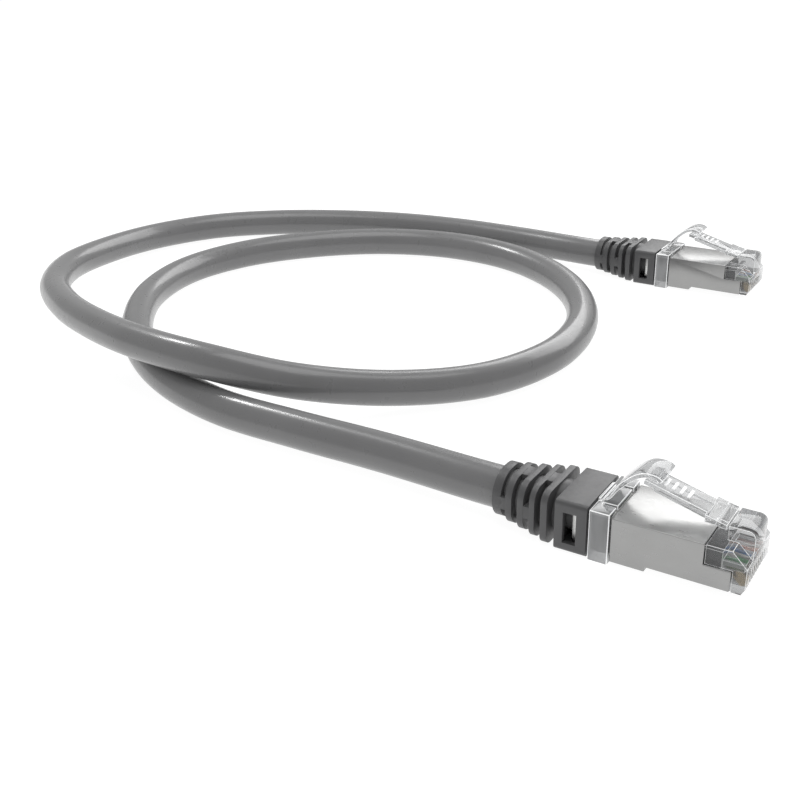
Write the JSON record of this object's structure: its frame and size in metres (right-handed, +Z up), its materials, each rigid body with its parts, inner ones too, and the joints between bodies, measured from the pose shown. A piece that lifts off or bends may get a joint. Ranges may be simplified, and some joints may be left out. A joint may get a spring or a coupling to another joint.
{
  "type": "ethernet patch cable",
  "caption": "Round shielded network patch cable in one crossing loop, with a clear latching modular plug, metal shield and ribbed strain-relief boot on each end.",
  "frame": {"origin": "on the surface that the cable rests on, below the middle of the box that holds the two plugs", "axes": "+X out of both plugs' noses, +Y from plug a to plug b, +Z up, towards the latches"},
  "size_m": [0.202, 0.1393, 0.0153],
  "materials": {
    "clear_polycarbonate": "clear polycarbonate, polished",
    "shield_nickel": "nickel-plated stamped sheet, satin",
    "crimp_nickel": "nickel-plated, satin",
    "braid_copper": "tinned copper braid",
    "inner_plastic": "smoke-grey moulded plastic",
    "contact_gold": "gold-plated bronze, polished",
    "boot_grey": "moulded soft PVC, fine satin grain",
    "jacket_grey": "extruded PVC, semi-gloss",
    "wire_white_green": "solid polyethylene insulation, white with a green stripe",
    "wire_green": "solid polyethylene insulation, green",
    "wire_white_orange": "solid polyethylene insulation, white with an orange stripe",
    "wire_blue": "solid polyethylene insulation, blue",
    "wire_white_blue": "solid polyethylene insulation, white with a blue stripe",
    "wire_orange": "solid polyethylene insulation, orange",
    "wire_white_brown": "solid polyethylene insulation, white with a brown stripe",
    "wire_brown": "solid polyethylene insulation, brown"
  },
  "bodies": {
    "root": {"plug_a_housing": "clear_polycarbonate", "plug_a_shield": "shield_nickel", "plug_a_collar": "clear_polycarbonate", "plug_a_boot": "boot_grey", "plug_a_crimp_sleeve": "crimp_nickel", "plug_a_braid_end": "braid_copper", "plug_a_load_bar": "inner_plastic", "plug_a_contact_1": "contact_gold", "plug_a_conductor_1": "wire_white_green", "plug_a_contact_2": "contact_gold", "plug_a_conductor_2": "wire_green", "plug_a_contact_3": "contact_gold", "plug_a_conductor_3": "wire_white_orange", "plug_a_contact_4": "contact_gold", "plug_a_conductor_4": "wire_blue", "plug_a_contact_5": "contact_gold", "plug_a_conductor_5": "wire_white_blue", "plug_a_contact_6": "contact_gold", "plug_a_conductor_6": "wire_orange", "plug_a_contact_7": "contact_gold", "plug_a_conductor_7": "wire_white_brown", "plug_a_contact_8": "contact_gold", "plug_a_conductor_8": "wire_brown", "plug_b_housing": "clear_polycarbonate", "plug_b_shield": "shield_nickel", "plug_b_collar": "clear_polycarbonate", "plug_b_boot": "boot_grey", "plug_b_crimp_sleeve": "crimp_nickel", "plug_b_braid_end": "braid_copper", "plug_b_load_bar": "inner_plastic", "plug_b_contact_1": "contact_gold", "plug_b_conductor_1": "wire_white_green", "plug_b_contact_2": "contact_gold", "plug_b_conductor_2": "wire_green", "plug_b_contact_3": "contact_gold", "plug_b_conductor_3": "wire_white_orange", "plug_b_contact_4": "contact_gold", "plug_b_conductor_4": "wire_blue", "plug_b_contact_5": "contact_gold", "plug_b_conductor_5": "wire_white_blue", "plug_b_contact_6": "contact_gold", "plug_b_conductor_6": "wire_orange", "plug_b_contact_7": "contact_gold", "plug_b_conductor_7": "wire_white_brown", "plug_b_contact_8": "contact_gold", "plug_b_conductor_8": "wire_brown", "cable_jacket": "jacket_grey"},
    "latch_a": {"plug_a_latch": "clear_polycarbonate"},
    "guard_a": {"plug_a_latch_guard": "clear_polycarbonate"},
    "latch_b": {"plug_b_latch": "clear_polycarbonate"},
    "guard_b": {"plug_b_latch_guard": "clear_polycarbonate"}
  },
  "joints": [
    {"name": "latch_a_press", "type": "hinge", "parent": "root", "child": "latch_a", "pos_m": [0.03425, -0.0627, 0.0102], "axis": [0, -1, 0], "range_deg": [0, 16], "stiffness_Nm_per_rad": 0.02},
    {"name": "guard_a_press", "type": "hinge", "parent": "root", "child": "guard_a", "pos_m": [0.01595, -0.0627, 0.0092], "axis": [0, 1, 0], "range_deg": [0, 22.4], "stiffness_Nm_per_rad": 0.01},
    {"name": "latch_b_press", "type": "hinge", "parent": "root", "child": "latch_b", "pos_m": [-0.00215, 0.0627, 0.0102], "axis": [0, -1, 0], "range_deg": [0, 16], "stiffness_Nm_per_rad": 0.02},
    {"name": "guard_b_press", "type": "hinge", "parent": "root", "child": "guard_b", "pos_m": [-0.02045, 0.0627, 0.0092], "axis": [0, 1, 0], "range_deg": [0, 22.4], "stiffness_Nm_per_rad": 0.01}
  ],
  "couplings": [
    {"joint": "guard_a_press", "follows": "latch_a_press", "ratio": 1.4},
    {"joint": "guard_b_press", "follows": "latch_b_press", "ratio": 1.4}
  ]
}
